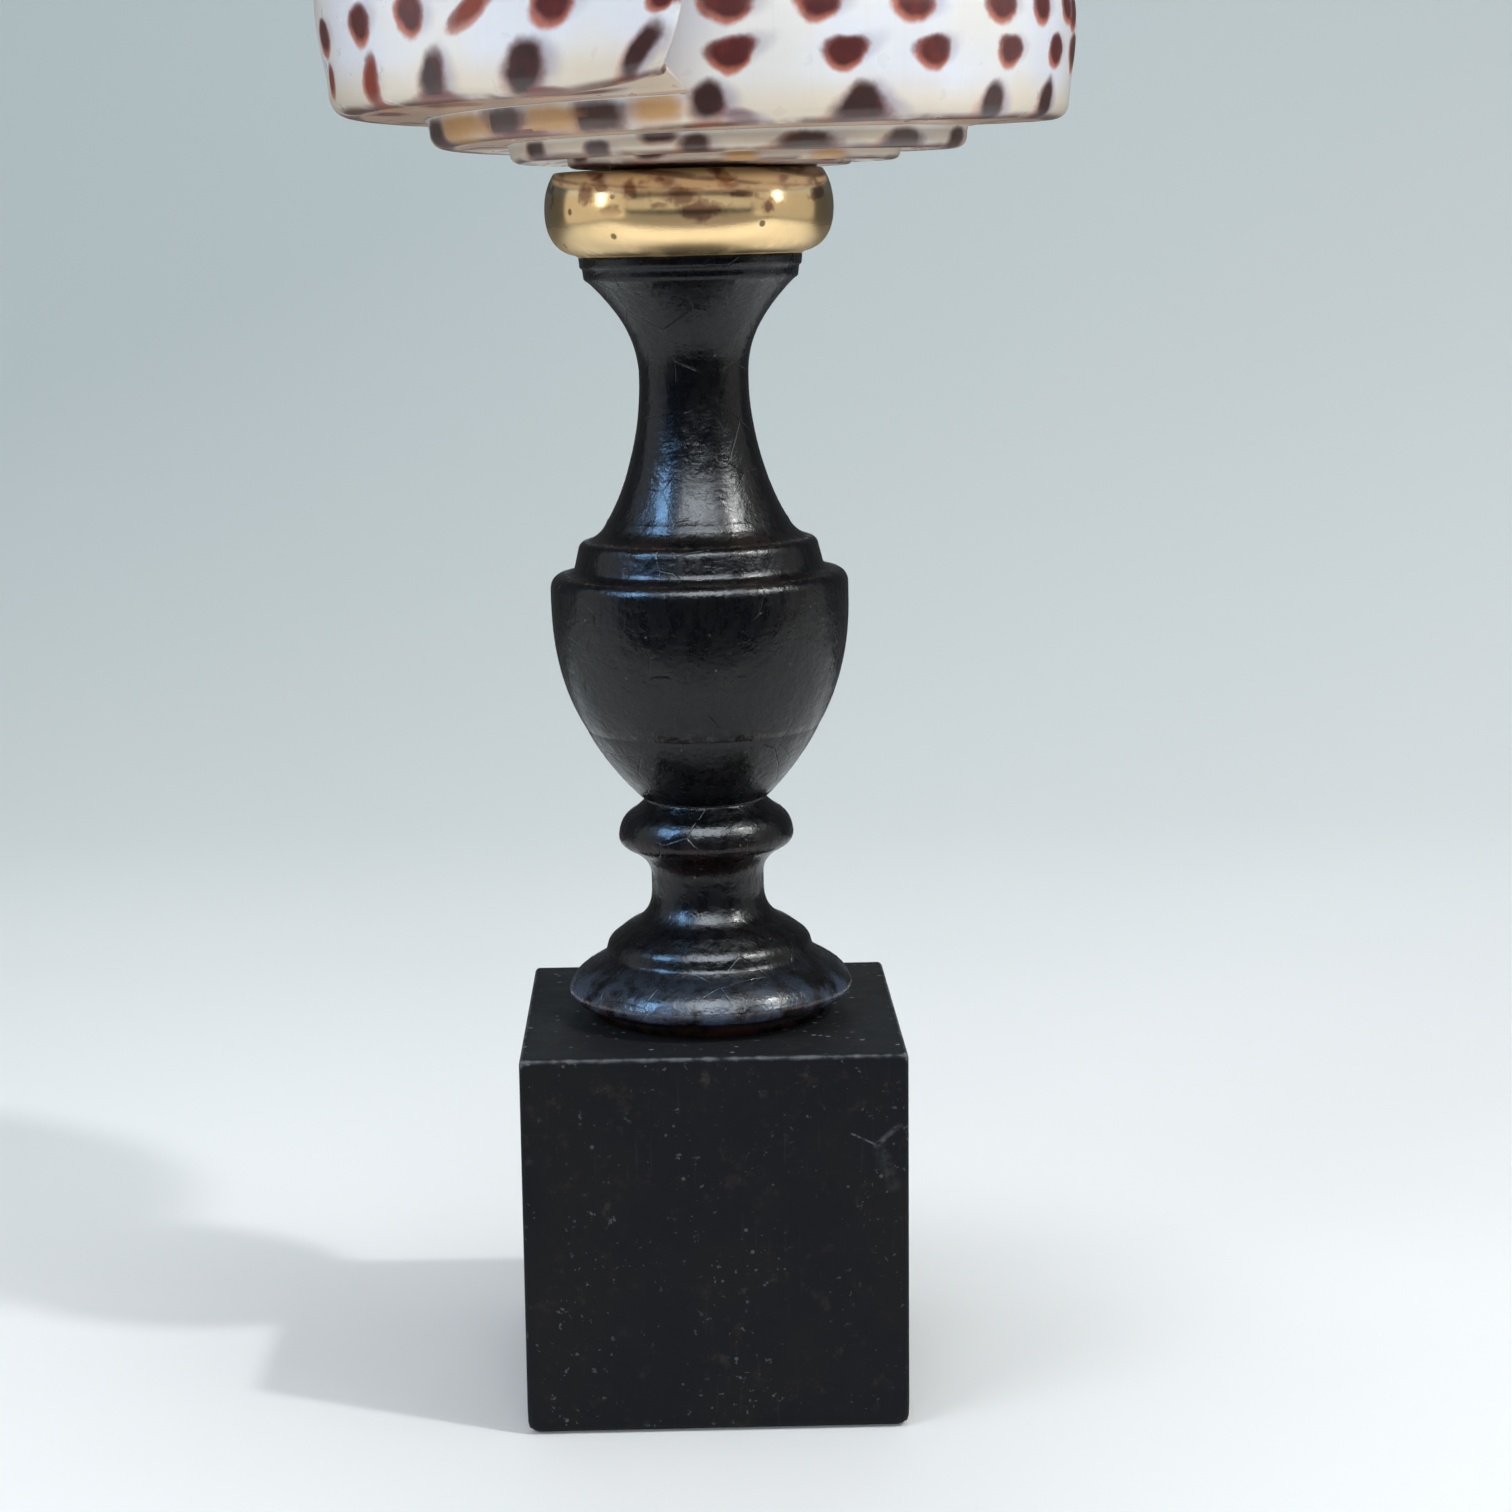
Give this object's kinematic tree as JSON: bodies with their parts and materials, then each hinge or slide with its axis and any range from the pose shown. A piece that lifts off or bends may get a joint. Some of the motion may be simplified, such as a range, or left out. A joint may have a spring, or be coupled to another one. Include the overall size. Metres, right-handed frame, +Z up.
{
  "type": "mounted cone shell",
  "caption": "Large spotted cone shell standing on its spire in a brass collar, on a turned black baluster stem and a black cube plinth.",
  "frame": {"origin": "centre of the plinth's underside, on the surface it stands on", "axes": "+Z up; -Y is the side the picture shows, with the shell's free lip; the stem, collar and shell lean 0.77 degrees towards -X"},
  "size_m": [0.0779, 0.0838, 0.2566],
  "materials": {
    "shell": "glossy natural shell, cream white with spiral rows of dark plum-brown spots",
    "collar": "polished pale gold, a little toned in the hollows",
    "stem": "turned wood under satin black paint, rubbed and mottled",
    "plinth": "matt black paint with fine scratches and specks of dust"
  },
  "bodies": {
    "root": {"cone_shell": "shell", "brass_collar": "collar", "turned_stem": "stem", "plinth_block": "plinth"}
  },
  "joints": []
}
